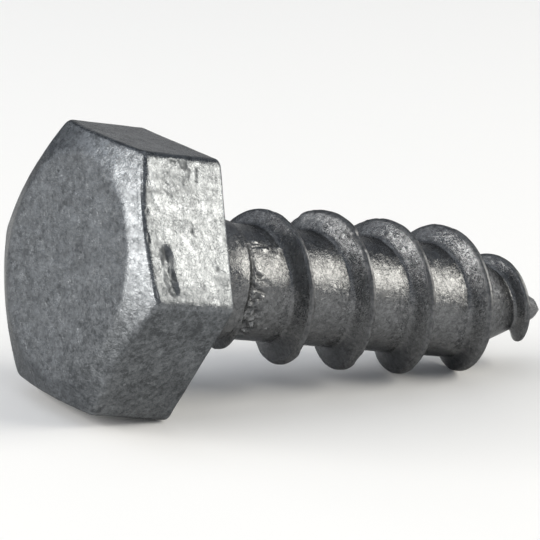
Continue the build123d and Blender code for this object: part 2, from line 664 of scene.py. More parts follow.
    def ridge(self, size: dict[str, Num], point: GimletPoint, outline: Num, turned: Num,
              core: Num) -> tuple[Num, Num]:
        """Raise the thread's ridge on the core.

        Args:
            size: The tree's named inputs.
            point: The point of the core.
            outline: The length along the core's outline.
            turned: The turns from the start of the thread.
            core: The core's radius.

        Returns:
            The radius with the ridge on it, and the height of the ridge's full section.
        """
        turns = (outline - size["Run In Start"]) / size["Pitch"] - turned
        aside = (turns - (turns + 0.5).math("FLOOR")) * size["Pitch"]
        crest_at = outline - aside
        end = size["Length"] - size["Run Out Gap"]
        run_in = ((crest_at - size["Run In Start"]) / size["Run In Length"]).share()
        run_out = ((end - crest_at) / size["Run Out Length"]).share()
        rise = (run_in.low(run_out) * (math.pi / 2)).math("SINE")
        along_point = ((crest_at - point.start) / (size["Length"] - point.start)).share()
        lowering = size["Point Thread Height"] - size["Thread Height"]
        height = size["Thread Height"] + lowering * along_point
        under_nose = (crest_at - point.nose_start).high(0.0) * size["Sunk Slope"]
        sunk = point.core_line(crest_at) - size["Sunk Depth"] - under_nose
        crest = sunk + (height + size["Sunk Depth"]) * rise
        scale = rise * (1.0 - size["Sunk Share"]) + size["Sunk Share"]
        off_crest = aside.math("ABSOLUTE") - size["Crest Width"] * 0.5 * scale
        flank = crest - off_crest / size["Flank Half Angle"].math("TANGENT")
        ridge = crest.math("SMOOTH_MIN", flank, size["Crest Round"] * scale)
        return core.math("SMOOTH_MAX", ridge, size["Root Fillet"] * scale * rise), height

    def shoulder(self, size: dict[str, Num], outline: Num, turned: Num, radius: Num) -> Num:
        """Leave the full blank under the head, on the side where the first turn rises.

        Args:
            size: The tree's named inputs.
            outline: The length along the core's outline.
            turned: The turns from the start of the thread.
            radius: The radius of the core with its ridge.

        Returns:
            The radius with the shoulder on it.
        """
        first_crest = size["Run In Start"] + size["Pitch"] * turned.math("FRACT")
        blank = (size["Shoulder Height"] * first_crest.step(*self.shoulder_rise)
                 * first_crest.step(*self.shoulder_fall))
        inward = size["Shoulder Length"] - outline
        hollow = inward.step(*self.waist_span) * size["Shoulder Waist"] * blank
        waist = size["Root Radius"] + blank - hollow
        end = size["Root Radius"] + inward * size["Shoulder Slope"] + blank
        shoulder = waist.math("SMOOTH_MIN", end, size["Shoulder Edge"])
        return radius.math("SMOOTH_MAX", shoulder, blank * size["Shoulder Foot"])


def ripples(points: np.ndarray, size: float, seed: int) -> np.ndarray:
    """Make smooth random waves through space.

    Args:
        points: Places on the skin.
        size: How wide a wave is.
        seed: Picks the waves.

    Returns:
        A value of about -1 to 1 at each place.
    """
    count, steepness, highest = 14, 3.0, 4.5
    random = np.random.default_rng(seed)
    waves = random.normal(size=(3, count)) * (steepness / size)
    return np.sin(points @ waves + random.uniform(0, FULL_TURN, count)).sum(1) / highest


@dataclass(frozen=True)
class Mark:
    """A dent, scratch, bead, burr or wash: a short line on the skin, pushed in, standing proud or
    left flat, whose colour can also be painted darker or lighter.
    """

    # In half widths: how far a mark reaches, where its rim stands and how wide that is, and the
    # size of the waves in its edge
    REACH: ClassVar[float] = 2.2
    RIM_AT: ClassVar[float] = 1.2
    RIM_WIDTH: ClassVar[float] = 0.4
    WANDER_SIZE: ClassVar[float] = 1.3
    # The size of its grit, and how far off the mark's own plane the skin is another side's
    GRIT_SIZE: ClassVar[float] = 0.45
    OTHER_SIDE: ClassVar[float] = 0.8
    # The power that shapes each section between its middle and its edge
    SHAPE_POWER: ClassVar[dict[Section, float]] = {Section.VEE: 1.1, Section.ROUND: 1.5}
    WANDER_SEED: ClassVar[int] = 11
    GRIT_SEED: ClassVar[int] = 5

    path: tuple[Point, ...]
    half_width: float
    height: float
    rim: float = 0.0
    wander: float = 0.25
    coarse: float = 0.0
    # How much darker the mark paints the skin: darker dents and nicks, and painted shade in the
    # washes. Below 0 it paints the skin lighter as a painted highlight.
    dirt: float = 0.0
    section: Section = Section.ROUND

    def near(self, points: np.ndarray, margin: float = 0.0) -> np.ndarray:
        """Pick the points in the box round the mark.

        Args:
            points: Places on the skin.
            margin: How much larger than the mark's own reach the box is.

        Returns:
            Their numbers.
        """
        path, reach = np.array(self.path), self.half_width * self.REACH + margin
        inside = (points > path.min(0) - reach) & (points < path.max(0) + reach)
        return np.flatnonzero(inside.all(1))

    def distance(self, points: np.ndarray, normals: np.ndarray) -> np.ndarray:
        """Measure along the skin how far points are from the mark's line.

        Args:
            points: Places on the skin.
            normals: The skin's normals there.

        Returns:
            The distances.
        """
        best = np.full(len(points), np.inf)
        shortest = 1e-9
        stops = [np.array(stop) for stop in self.path]
        for start, end in zip(stops, stops[1:] or stops):
            run = end - start
            share = np.clip((points - start) @ run / max(run @ run, shortest), 0, 1)
            off = points - start - share[:, None] * run
            depth = (off * normals).sum(1)
            flat = np.linalg.norm(off - depth[:, None] * normals, axis=1)
            best = np.minimum(best, np.where(np.abs(depth) < self.OTHER_SIDE, flat, np.inf))
        return best

    def press(self, points: np.ndarray, normals: np.ndarray) -> tuple[np.ndarray, np.ndarray]:
        """Work out how far the mark moves the skin outwards, and how much darker it paints the
        skin: darker dents, painted shade, and below 0 painted highlights.

        Args:
            points: Places on the skin.
            normals: The skin's normals there.

        Returns:
            The distances, and how much darker the mark paints the skin there, negative where it
            paints a painted highlight.
        """
        away = self.distance(points, normals) / self.half_width
        wandering = ripples(points, self.half_width * self.WANDER_SIZE, self.WANDER_SEED)
        away = away + self.wander * wandering
        fall = away if self.section is Section.VEE else away**2
        inside = np.clip(1 - fall, 0, 1) ** self.SHAPE_POWER[self.section]
        edge = np.exp(-(((away - self.RIM_AT) / self.RIM_WIDTH) ** 2))
        grit = 1 + self.coarse * ripples(points, self.GRIT_SIZE, self.GRIT_SEED)
        return self.height * inside * grit + self.rim * edge, self.dirt * inside * grit


@dataclass(frozen=True)
class Weathering:
    """The marks that forging, rolling, dipping and handling left, with painted shade and painted
    highlights among them, and how they are pressed in.
    """

    head: HexHead
    shank: ThreadedShank
    seed: int = 7
    torn_count: int = 58
    nick_count: int = 70
    near_margin: float = 0.3

    def flat_mark(self, places: list[tuple[float, float]], half_width: float, height: float,
                  side: float = 60.0, **more: object) -> Mark:
        """Return a mark along places (x, across) on one of the head's flats."""
        path = tuple(self.head.on_flat(side, x, across) for x, across in places)
        return Mark(path, half_width, height, **more)

    def shank_mark(self, places: list[tuple[float, float]], half_width: float, height: float,
                   above: float = 0.0, **more: object) -> Mark:
        """Return a mark along places (x, angle) on the shank."""
        path = tuple(self.shank.on_core(x, angle, above) for x, angle in places)
        return Mark(path, half_width, height, **more)

    def front_flat(self) -> list[Mark]:
        """List the marks of the front flat: a gouge, a dish, a bead and nicks, with the raised
        strokes painted lighter as painted highlights.

        Returns:
            The marks.
        """
        mark = self.flat_mark
        # Marks with a negative dirt are painted lighter: painted highlights on the raised strokes
        # and the bead. Positive values paint the dents and nicks darker.
        return [
            mark([(-4.78, 1.4), (-4.7, 2.6), (-4.58, 3.3), (-4.42, 3.85)], 0.5, -0.155,
                 rim=0.01, wander=0.12, coarse=0.12, dirt=0.4, section=Section.VEE),
            mark([(-4.92, 1.4), (-4.82, 1.8)], 0.24, -0.03, wander=0.4, dirt=0.2),
            mark([(-4.85, 1.9), (-4.7, 2.25), (-4.82, 2.6), (-4.66, 3.0), (-4.62, 3.5),
                  (-4.42, 3.95)], 0.09, 0.05, wander=0.3, dirt=-0.45),
            mark([(-4.6, 2.1), (-4.56, 3.1), (-4.38, 3.6)], 0.07, 0.03, wander=0.3, dirt=-0.4),
            mark([(-5.5, -3.5), (-5.4, -2.2), (-5.07, -1.65), (-4.4, -1.35), (-3.6, -1.4)], 0.34,
                 0.035, wander=0.3, dirt=-0.4),
            mark([(-4.5, -3.1), (-3.4, -2.9)], 1.1, -0.045, wander=0.15, coarse=0.3, dirt=0.02),
            mark([(-4.2, -3.2), (-3.9, -2.7), (-3.5, -2.9)], 0.12, 0.03, wander=0.5, dirt=-0.3),
            mark([(-4.4, -2.5), (-4.0, -2.2)], 0.1, -0.03, wander=0.5, dirt=0.4),
            mark([(-0.7, 0.2), (-0.65, 1.6)], 0.3, 0.015, dirt=-0.4),
            mark([(-2.81, -0.1), (-2.6, 0.25)], 0.11, -0.04, rim=0.01, dirt=0.4),
            mark([(-1.75, -2.2), (-1.85, -1.0)], 0.08, 0.02, dirt=-0.4),
            mark([(-3.8, -4.5), (-3.3, -4.5)], 0.2, -0.03, wander=0.5, dirt=0.4),
            mark([(-2.9, -4.6), (-2.95, -4.1)], 0.24, -0.035, wander=0.5, dirt=0.4),
            mark([(-2.55, -4.3), (-2.6, -3.7), (-3.1, -3.3)], 0.2, -0.03, wander=0.6, dirt=0.35),
            mark([(-1.95, -4.2), (-2.1, -3.3)], 0.12, -0.03, wander=0.5, dirt=0.5),
            mark([(-5.92, -1.1)], 0.2, -0.06, dirt=0.5),
            mark([(-5.95, 0.8)], 0.16, -0.07, dirt=0.5),
            mark([(-5.85, 4.0), (-5.8, 4.4)], 0.16, -0.05, dirt=0.4),
            mark([(-1.15, 2.3)], 0.22, -0.03, dirt=0.35),
            mark([(-3.3, 0.9), (-2.6, 1.4), (-2.1, 1.2)], 0.5, 0.02, wander=0.5, dirt=-0.3),
            mark([(-2.4, 2.9), (-1.6, 3.6), (-1.5, 4.3)], 0.5, 0.02, wander=0.5, dirt=-0.2),
            mark([(-4.9, -0.6), (-4.6, 0.6)], 0.4, 0.015, wander=0.5, dirt=-0.25),
        ]

    def chamfer_burrs(self) -> list[Mark]:
        """List the fine burrs beside the edge between the chamfer and the front flat.

        Returns:
            The marks.
        """
        paths = [
            ((-6.02, -5.0, 7.9), (-6.22, -6.0, 6.3), (-6.3, -6.9, 4.9), (-6.25, -7.7, 3.5)),
            ((-6.1, -5.0, 7.6), (-6.32, -6.0, 6.05), (-6.4, -6.8, 4.7)),
        ]
        return [Mark(path, 0.09, 0.03, wander=0.3) for path in paths]

    def thread_start(self) -> list[Mark]:
        """List the rolling lines, and the beads where the thread starts, which are painted lighter
        as painted glints.

        Returns:
            The marks.
        """
        mark = self.shank_mark
        lines = [
            mark([(4.95, 38), (5.0, 60), (5.04, 100)], 0.16, -0.05, wander=0.4, dirt=0.4),
            mark([(5.22, 44), (5.26, 84)], 0.07, 0.035, wander=0.5),
            mark([(5.42, 50), (5.44, 80)], 0.07, 0.03, wander=0.5),
            mark([(5.3, 40), (5.75, 38)], 0.07, 0.05, wander=0.5),
            mark([(5.2, 63), (5.7, 70), (5.5, 78)], 0.12, 0.05, wander=0.5),
            mark([(5.3, 82), (5.8, 86)], 0.14, -0.06, wander=0.5),
        ]
        glint_beads = [(5.51, 34), (5.9, 43), (6.2, 42), (7.35, 40), (5.85, 91), (6.45, 122),
                 (7.14, 127), (5.67, 133), (5.2, 101), (5.1, 112)]
        # Painted highlight: each bead is painted much lighter (-0.9), a painted glint on top of
        # its small real bump.
        return lines + [
            mark([(x, angle), (x + 0.14, angle + 0.8)], 0.13, 0.1, dirt=-0.9)
            for x, angle in glint_beads
        ]

    def torn_zinc(self) -> list[Mark]:
        """Scatter short ridges and tears over the shoulder's end, the ridges painted lighter and
        the tears darker in step with their height: painted highlight and painted shade.

        Returns:
            The marks.
        """
        steepness, slant, middle = 0.26, 0.012, 84
        random = np.random.default_rng(self.seed)
        marks = []
        for _ in range(self.torn_count):
            angle = random.uniform(70, 140)
            x = random.uniform(4.75, 5.75) + (angle - middle) * slant
            width = random.uniform(0.08, 0.26)
            height = random.choice([-steepness, steepness]) * width
            turn = random.uniform(-9, 9)
            end = (x + random.uniform(-0.1, 0.35), angle + turn)
            # The paint follows the height: raised ridges are painted lighter as painted
            # highlights, and sunken tears darker as painted shade.
            marks.append(self.shank_mark([(x, angle), end], width, height, wander=0.8,
                                         coarse=0.5, dirt=-height * 4))
        return marks

    def crest_nicks(self) -> list[Mark]:
        """Scatter small flats, nicks and beads along the thread's crest.

        Returns:
            The marks.
        """
        random = np.random.default_rng(self.seed + 1)
        shank = self.shank
        marks = []
        for _ in range(self.nick_count):
            turns = random.uniform(0.5, 5.6)
            x = shank.run_in_start + turns * shank.pitch
            angle = shank.start_angle + 360 * turns
            run = random.uniform(1, 9)
            path = [(x + shank.pitch * step / 360 + random.normal(0, 0.06), angle + step)
                    for step in (0.0, run)]
            width = random.uniform(0.14, 0.3)
            height = random.choice([-1, -1, 1]) * random.uniform(0.01, 0.035)
            marks.append(self.shank_mark(path, width, height, above=shank.thread_height - 0.1,
                                         wander=0.4))
        return marks

    def crest_swells(self) -> list[Mark]:
        """List the stretches of crest that were rolled a little fuller.

        Returns:
            The marks.
        """
        shank = self.shank
        stretches = [(3, -28, 24, 0.16), (2, 140, 215, 0.1), (3, 150, 215, 0.12),
                     (4, 150, 200, 0.06)]
        marks = []
        for turn, start, end, height in stretches:
            path = []
            for angle in np.linspace(start, end, 9):
                turns = (angle - shank.start_angle) / 360 + turn
                path.append((shank.run_in_start + shank.pitch * turns, angle))
            marks.append(self.shank_mark(path, 0.75, height, above=shank.thread_height,
                                         wander=0.0))
        return marks

    def washes(self) -> list[Mark]:
        """List the wide washes of painted shade that only darken the skin's colour: the lower part
        of the front flat, and the whole lower front flat.

        Returns:
            The marks.
        """
        mark = self.flat_mark
        return [
            # Painted shade: the front flat's lower part and the lower front flat are painted
            # darker, as if they saw less light.
            mark([(-4.5, 4.2), (-0.6, 3.9)], 2.0, 0.0, wander=0.3, dirt=0.12),
            mark([(-6.2, 0.5), (0.0, -1.5)], 9.0, 0.0, side=120.0, wander=0.0, dirt=0.24),
        ]

    def refine(self, mesh: bpy.types.Mesh, fine_marks: list[Mark]) -> None:
        """Divide the skin's faces under the fine marks.

        Args:
            mesh: The skin, in the screw's own frame.
            fine_marks: The marks that need a closer mesh than the skin's own.
        """
        divided = 2.0  # half widths from a mark's line
        work = bmesh.new()
        work.from_mesh(mesh)
        points = np.array([v.co[:] for v in work.verts])
        normals = np.array([v.normal[:] for v in work.verts])
        close = np.zeros(len(points), bool)
        for mark in fine_marks:
            some = mark.near(points)
            reach = mark.distance(points[some], normals[some])
            close[some] |= reach < mark.half_width * divided
        edges = [e for e in work.edges if close[e.verts[0].index] and close[e.verts[1].index]]
        bmesh.ops.subdivide_edges(work, edges=edges, cuts=1, use_grid_fill=True)
        bmesh.ops.triangulate(work, faces=[f for f in work.faces if len(f.verts) > 4])
        work.to_mesh(mesh)
        work.free()

    def press(self, mesh: bpy.types.Mesh) -> None:
        """Press every mark into the skin.

        Args:
            mesh: The skin, in the screw's own frame.
        """
        fine = self.front_flat() + self.chamfer_burrs() + self.thread_start() + self.torn_zinc()
        coarse = self.crest_nicks() + self.crest_swells() + self.washes()
        self.refine(mesh, fine)
        count = len(mesh.vertices)
        points, normals = np.empty(count * 3), np.empty(count * 3)
        mesh.vertices.foreach_get("co", points)
        mesh.vertex_normals.foreach_get("vector", normals)
        points, normals = points.reshape(-1, 3), normals.reshape(-1, 3)
        # dirt sums each mark's darker dents, painted shade and painted highlights, and is stored
        # on the skin for the finishes.
        lift, dirt = np.zeros(count), np.zeros(count)
        for mark in fine + coarse:
            some = mark.near(points, self.near_margin)
            raised, tone_shift = mark.press(points[some], normals[some])
            lift[some] += raised
            dirt[some] += tone_shift
        points += normals * lift[:, None]
        mesh.vertices.foreach_set("co", points.ravel())
        mesh.attributes.new("dirt", "FLOAT", "POINT").data.foreach_set("value", dirt)
        mesh.update()


def new_group(name: str, inputs: dict[str, float], outputs: tuple[str, ...]) -> NodeTree:
    """Start a shader node group that reads a Vector and some numbers.

    Args:
        name: The group's name.
        inputs: Its numbers, with their usual values.
        outputs: The numbers that it puts out.

    Returns:
        The group, with its input and output nodes in place.
    """
    tree = bpy.data.node_groups.new(name, TreeKind.SHADER.value)
    face = tree.interface
    face.new_socket("Vector", in_out="INPUT", socket_type="NodeSocketVector")
    for title, value in inputs.items():
        socket = face.new_socket(title, in_out="INPUT", socket_type="NodeSocketFloat")
        socket.default_value = value
    for title in outputs:
        face.new_socket(title, in_out="OUTPUT", socket_type="NodeSocketFloat")
    add(tree, "NodeGroupInput", name="In")
    add(tree, "NodeGroupOutput", name="Out")
    return tree


def put_out(tree: NodeTree, **values: Num | Socket) -> NodeTree:
    """Feed a group's outputs.

    Args:
        tree: The group.
        **values: What each output, by its name, puts out.

    Returns:
        The group.
    """
    for title, value in values.items():
        feed(tree, tree.nodes["Out"].inputs[title], value)
    return tree


class Effects:
    """The surface effects that the finishes share, each a node group that is built once."""

    def __init__(self) -> None:
        """Build the groups."""
        self.clouds = self.build_clouds()
        self.grain = self.build_grain()
        self.facets = self.build_facets()
        self.wrinkles = self.build_wrinkles()
        self.pits = self.build_pits()
        self.rings = self.build_rings()

    @staticmethod
    def noise(tree: NodeTree, scale: "Num | float", detail: float, rough: float,
              warp: float = 0.0, shift: float = 0.0) -> Num:
        """Add fractal noise on the group's Vector.

        Args:
            tree: The group.
            scale: Features per millimetre.
            detail: Octaves.
            rough: Strength of the finer octaves.
            warp: Distortion.
            shift: Moves the pattern, so that two noises differ.

        Returns:
            The noise, about 0 to 1.
        """
        node = add(tree, "ShaderNodeTexNoise", {
            "Vector": tree.nodes["In"].outputs["Vector"], "Scale": scale, "W": shift,
            "Detail": detail, "Roughness": rough, "Distortion": warp,
        }, noise_dimensions="4D")
        return Num(tree, node.outputs[0])

    @staticmethod
    def cells(tree: NodeTree, scale: "Num | float", shift: float) -> tuple[Num, Num]:
        """Add a Voronoi pattern on the group's Vector.

        Args:
            tree: The group.
            scale: Cells per millimetre.
            shift: Moves the pattern.

        Returns:
            The distance from each cell's middle, and the cell's own random number.
        """
        node = add(tree, "ShaderNodeTexVoronoi", {
            "Vector": tree.nodes["In"].outputs["Vector"], "Scale": scale, "W": shift,
        }, voronoi_dimensions="4D")
        split = add(tree, "ShaderNodeSeparateColor", {0: node.outputs["Color"]})
        return Num(tree, node.outputs["Distance"]), Num(tree, split.outputs[0])

    @staticmethod
    def size(tree: NodeTree, title: str) -> Num:
        """Return one of a group's own numbers."""
        return Num(tree, tree.nodes["In"].outputs[title])

    def build_clouds(self) -> NodeTree:
        """Build the large soft patches of lighter and darker zinc.

        Returns:
            The group.
        """
        tree = new_group("Zinc clouds", {"Size": 1.5, "Contrast": 1.0}, ("Mask",))
        size, contrast = self.size(tree, "Size"), self.size(tree, "Contrast")
        fineness, wide_share, fine_share, spread = 6.0, 0.65, 0.35, 3.0
        wide = self.noise(tree, 1.0 / size, detail=5.0, rough=0.62, warp=0.2)
        fine = self.noise(tree, fineness / size, detail=3.0, rough=0.6, warp=0.3, shift=3.1)
        mixed = wide * wide_share + fine * fine_share - 0.5
        return put_out(tree, Mask=(mixed * contrast * spread + 0.5).share())

    def build_grain(self) -> NodeTree:
        """Build the fine crystalline grain and its bright specks.

        Returns:
            The group.
        """
        tree = new_group("Zinc grain", {"Scale": 7.0}, ("Height", "Speck"))
        scale, speck_fineness, brightest = self.size(tree, "Scale"), 1.7, (0.66, 0.8)
        coarse = self.noise(tree, scale, detail=3.0, rough=0.65, warp=0.4, shift=7.3)
        speck = self.noise(tree, scale * speck_fineness, detail=1.0, rough=0.5, shift=1.7)
        return put_out(tree, Height=coarse, Speck=speck.step(*brightest))

    def build_facets(self) -> NodeTree:
        """Build the small crystals, each with its own tilt and its own shade.

        Returns:
            The group.
        """
        tree = new_group("Zinc crystals", {"Scale": 4.0}, ("Height", "Shade"))
        vector, scale = tree.nodes["In"].outputs["Vector"], self.size(tree, "Scale")
        wave_fineness, waviness, middle = 0.8, (0.06, 0.06, 0.06), (0.5, 0.5, 0.5)
        waves = add(tree, "ShaderNodeTexNoise", {"Vector": vector, "Scale": scale * wave_fineness})
        bent = add(tree, "ShaderNodeVectorMath",
                   {0: waves.outputs["Color"], 1: waviness, 2: vector}, operation="MULTIPLY_ADD")
        crystals = add(tree, "ShaderNodeTexVoronoi", {"Vector": bent.outputs[0], "Scale": scale})
        off = add(tree, "ShaderNodeVectorMath",
                  {0: bent.outputs[0], 1: crystals.outputs["Position"]}, operation="SUBTRACT")
        tilt = add(tree, "ShaderNodeVectorMath",
                   {0: crystals.outputs["Color"], 1: middle}, operation="SUBTRACT")
        ramp = add(tree, "ShaderNodeVectorMath",
                   {0: off.outputs[0], 1: tilt.outputs[0]}, operation="DOT_PRODUCT")
        split = add(tree, "ShaderNodeSeparateColor", {0: crystals.outputs["Color"]})
        return put_out(tree, Height=ramp.outputs["Value"], Shade=split.outputs[0])

    def build_wrinkles(self) -> NodeTree:
        """Build the folds that the zinc froze in as it ran off.

        Returns:
            The group.
        """
        tree = new_group("Zinc wrinkles", {"Scale": 1.2}, ("Height", "Line"))
        scale, folds, fold_height, fold_top = self.size(tree, "Scale"), 9.0, 0.35, (0.75, 1.0)
        lump_fineness = 2.2
        flow = self.noise(tree, scale, detail=3.0, rough=0.55, warp=1.8, shift=5.9)
        ridge = 1.0 - (flow * folds).math("PINGPONG", 0.5) * 2.0
        lumps = self.noise(tree, scale * lump_fineness, detail=3.0, rough=0.6, warp=0.8, shift=9.4)
        return put_out(tree, Height=ridge * fold_height + lumps, Line=ridge.step(*fold_top))

    def build_pits(self) -> NodeTree:
        """Build scattered small pits and pimples.

        Returns:
            The group.
        """
        tree = new_group("Zinc pits", {"Scale": 1.3}, ("Height", "Dark"))
        reach, chance = self.cells(tree, self.size(tree, "Scale"), shift=2.6)
        hole = reach.step(0.2, 0.06) * chance.step(0.72, 0.76)
        bump = reach.step(0.26, 0.1) * chance.step(0.3, 0.26)
        return put_out(tree, Height=bump - hole, Dark=hole)

    def build_rings(self) -> NodeTree:
        """Build the faint rings left by bubbles and drops in the molten zinc.

        Returns:
            The group.
        """
        tree = new_group("Zinc rings", {"Scale": 0.9}, ("Line", "Inside"))
        uneven, thickness, soft, chosen = 0.24, 0.07, 0.1, (0.58, 0.62)
        line, inside = None, None
        for fineness, shift, radius in ((1.0, 4.2, 0.2), (1.9, 8.8, 0.26)):
            scale = self.size(tree, "Scale") * fineness
            reach, chance = self.cells(tree, scale, shift)
            wobble = self.noise(tree, scale * 2.0, detail=2.0, rough=0.5, shift=shift)
            away = reach + (wobble - 0.5) * uneven
            some = chance.step(*chosen)
            outer = away.step(radius + thickness, radius)
            edge = away.step(radius - thickness, radius) * outer * some
            within = away.step(radius, radius - soft) * some
            line = edge if line is None else line.high(edge)
            inside = within if inside is None else inside.high(within)
        return put_out(tree, Line=line, Inside=inside)


@dataclass(frozen=True)
class ZincFinish:
    """Hot-dip zinc: clouded grey metal with a fine grain and a lumpy skin."""

    name: str
    dark: Colour = (0.078, 0.083, 0.088)
    light: Colour = (0.256, 0.270, 0.284)
    edge_tint: Colour = (0.5, 0.5, 0.5)
    roughness: tuple[float, float] = (0.20, 0.32)
    worn_roughness: float = 0.5
    metallic: float = 0.97
    stretch: Point = (1.0, 0.72, 1.0)
    cloud_size: float = 2.2
    cloud_contrast: float = 1.0
    cloud_tone: float = 0.42
    mottle_size: float = 0.55
    mottle_contrast: float = 1.4
    mottle_tone: float = 0.4
    grain_scale: float = 6.2
    grain_tone: float = 1.2
    grain_depth: float = 0.008
    speck_tone: float = 0.55
    facet_scale: float = 4.4
    facet_tone: float = 0.3
    facet_tilt: float = 0.07
    wrinkle_scale: float = 1.1
    wrinkle_tone: float = 0.2
    wrinkle_depth: float = 0.018
    pit_scale: float = 1.2
    pit_tone: float = 0.8
    pit_depth: float = 0.012
    ring_scale: float = 0.9
    ring_tone: float = 0.2
    ring_inside: float = 0.6
    ring_depth: float = 0.005
    crest_span: tuple[float, float] = (0.78, 0.97)
    # How much darker the thread's crest is painted: painted shade that tones down the lamps'
    # reflection along the crest.
    crest_painted_shade: float = 0.15
    crest_wear: float = 0.25

    def vector(self, tree: NodeTree, pose: RestPose) -> Socket:
        """Turn Object coordinates into the screw's own frame.

        Args:
            tree: The material's tree.
            pose: How the screw lies, so that the patterns follow the screw.

        Returns:
            The place that the patterns are read at.
        """
        back = pose.place.inverted()
        coords = add(tree, "ShaderNodeTexCoord")
        own = add(tree, "ShaderNodeMapping", {
            "Vector": coords.outputs["Object"], "Location": back.translation,
            "Rotation": back.to_euler(), "Scale": back.to_scale(),
        })
        drawn = add(tree, "ShaderNodeVectorMath", {0: own.outputs[0], 1: self.stretch},
                    operation="MULTIPLY")
        return drawn.outputs[0]

    def patterns(self, tree: NodeTree, effects: Effects, vector: Socket) -> dict[str, Num]:
        """Place the shared effects.

        Args:
            tree: The material's tree.
            effects: The shared node groups.
            vector: The place that they are read at.

        Returns:
            What they put out, each named after its effect and its output.
        """
        placed = {
            "clouds": (effects.clouds, {"Size": self.cloud_size,
                                        "Contrast": self.cloud_contrast}),
            "mottle": (effects.clouds, {"Size": self.mottle_size,
                                        "Contrast": self.mottle_contrast}),
            "grain": (effects.grain, {"Scale": self.grain_scale}),
            "facets": (effects.facets, {"Scale": self.facet_scale}),
            "wrinkles": (effects.wrinkles, {"Scale": self.wrinkle_scale}),
            "pits": (effects.pits, {"Scale": self.pit_scale}),
            "rings": (effects.rings, {"Scale": self.ring_scale}),
        }
        seen = {}
        for name, (group, values) in placed.items():
            node = add(tree, "ShaderNodeGroup", {"Vector": vector, **values}, node_tree=group)
            for output in node.outputs:
                seen[f"{name} {output.name}".lower()] = Num(tree, output)
        return seen

    def tone(self, seen: dict[str, Num], dirt: Num, crest: Num) -> Num:
        """Mix the patterns into one tone.

        Args:
            seen: The patterns.
            dirt: How much darker the marks paint the skin, negative for lighter: darker dents,
                painted shade and painted highlights.
            crest: 1 on the thread's crest, which is painted darker as painted shade.

        Returns:
            The tone, from 0 at the dark colour to 1 at the light one.
        """
        tone = (seen["clouds mask"] - 0.5) * self.cloud_tone
        tone = tone + (seen["mottle mask"] - 0.5) * self.mottle_tone
        tone = tone + (seen["grain height"] - 0.5) * self.grain_tone
        tone = tone - seen["pits dark"] * self.pit_tone
        tone = tone - seen["rings line"] * self.ring_tone
        tone = tone + seen["rings inside"] * self.ring_tone * self.ring_inside
        # Painted shade: the crest is painted darker.
        # The marks' dirt darkens the tone, and lightens it where it is below 0: painted shade and
        # painted highlights among darker dents.
        tone = tone - dirt - crest * self.crest_painted_shade
        tone = tone + (seen["facets shade"] - 0.5) * self.facet_tone
        tone = tone - seen["wrinkles line"] * self.wrinkle_tone
        return (tone + seen["grain speck"] * self.speck_tone + 0.5).share()

    def height(self, seen: dict[str, Num]) -> Num:
        """Mix the patterns into one fine relief.

        Args:
            seen: The patterns.

        Returns:
            The height over the skin.
        """
        height = seen["grain height"] * self.grain_depth
        height = height + seen["wrinkles height"] * self.wrinkle_depth
        height = height + seen["pits height"] * self.pit_depth
        height = height + seen["facets height"] * self.facet_tilt
        return height - seen["rings line"] * self.ring_depth

    def material(self, effects: Effects, pose: RestPose) -> bpy.types.Material:
        """Build the material.

        Args:
            effects: The shared node groups.
            pose: How the screw lies.

        Returns:
            The material.
        """
        material = bpy.data.materials.new(self.name)
        material.use_nodes = True
        tree = material.node_tree
        seen = self.patterns(tree, effects, self.vector(tree, pose))
        # dirt carries the marks' darker dents, painted shade and painted highlights.
        dirt, crest_share = (
            Num(tree, add(tree, "ShaderNodeAttribute", attribute_name=name).outputs["Fac"])
            for name in ("dirt", "crest_share")
        )
        crest = crest_share.step(*self.crest_span)
        colour = add(tree, "ShaderNodeMix", {
            0: self.tone(seen, dirt, crest), COLOUR_A: (*self.dark, 1.0),
            COLOUR_B: (*self.light, 1.0),
        }, data_type="RGBA")
        low, high = self.roughness
        worn = (dirt + crest * self.crest_wear).share() * self.worn_roughness
        bump = add(tree, "ShaderNodeBump",
                   {"Strength": 1.0, "Distance": MM, "Height": self.height(seen)})
        surface = {
            "Base Color": colour.outputs[2],
            "Metallic": self.metallic,
            "Specular Tint": (*self.edge_tint, 1.0),
            "Roughness": (1.0 - seen["clouds mask"]) * (high - low) + low + worn,
            "Normal": bump.outputs[0],
        }
        for title, value in surface.items():
            feed(tree, tree.nodes["Principled BSDF"].inputs[title], value)
        return material


THREAD_ZINC = ZincFinish(
    "thread_zinc", dark=(0.068, 0.070, 0.073), light=(0.256, 0.261, 0.267), roughness=(0.2, 0.3),
    metallic=0.88, stretch=(1.0, 1.0, 1.0), cloud_size=1.8, cloud_tone=0.28, mottle_tone=0.2,
    grain_scale=6.5, grain_tone=0.85, grain_depth=0.01, speck_tone=0.4, facet_scale=5.0,
    facet_tone=0.3, facet_tilt=0.13, ring_tone=0.2,
)


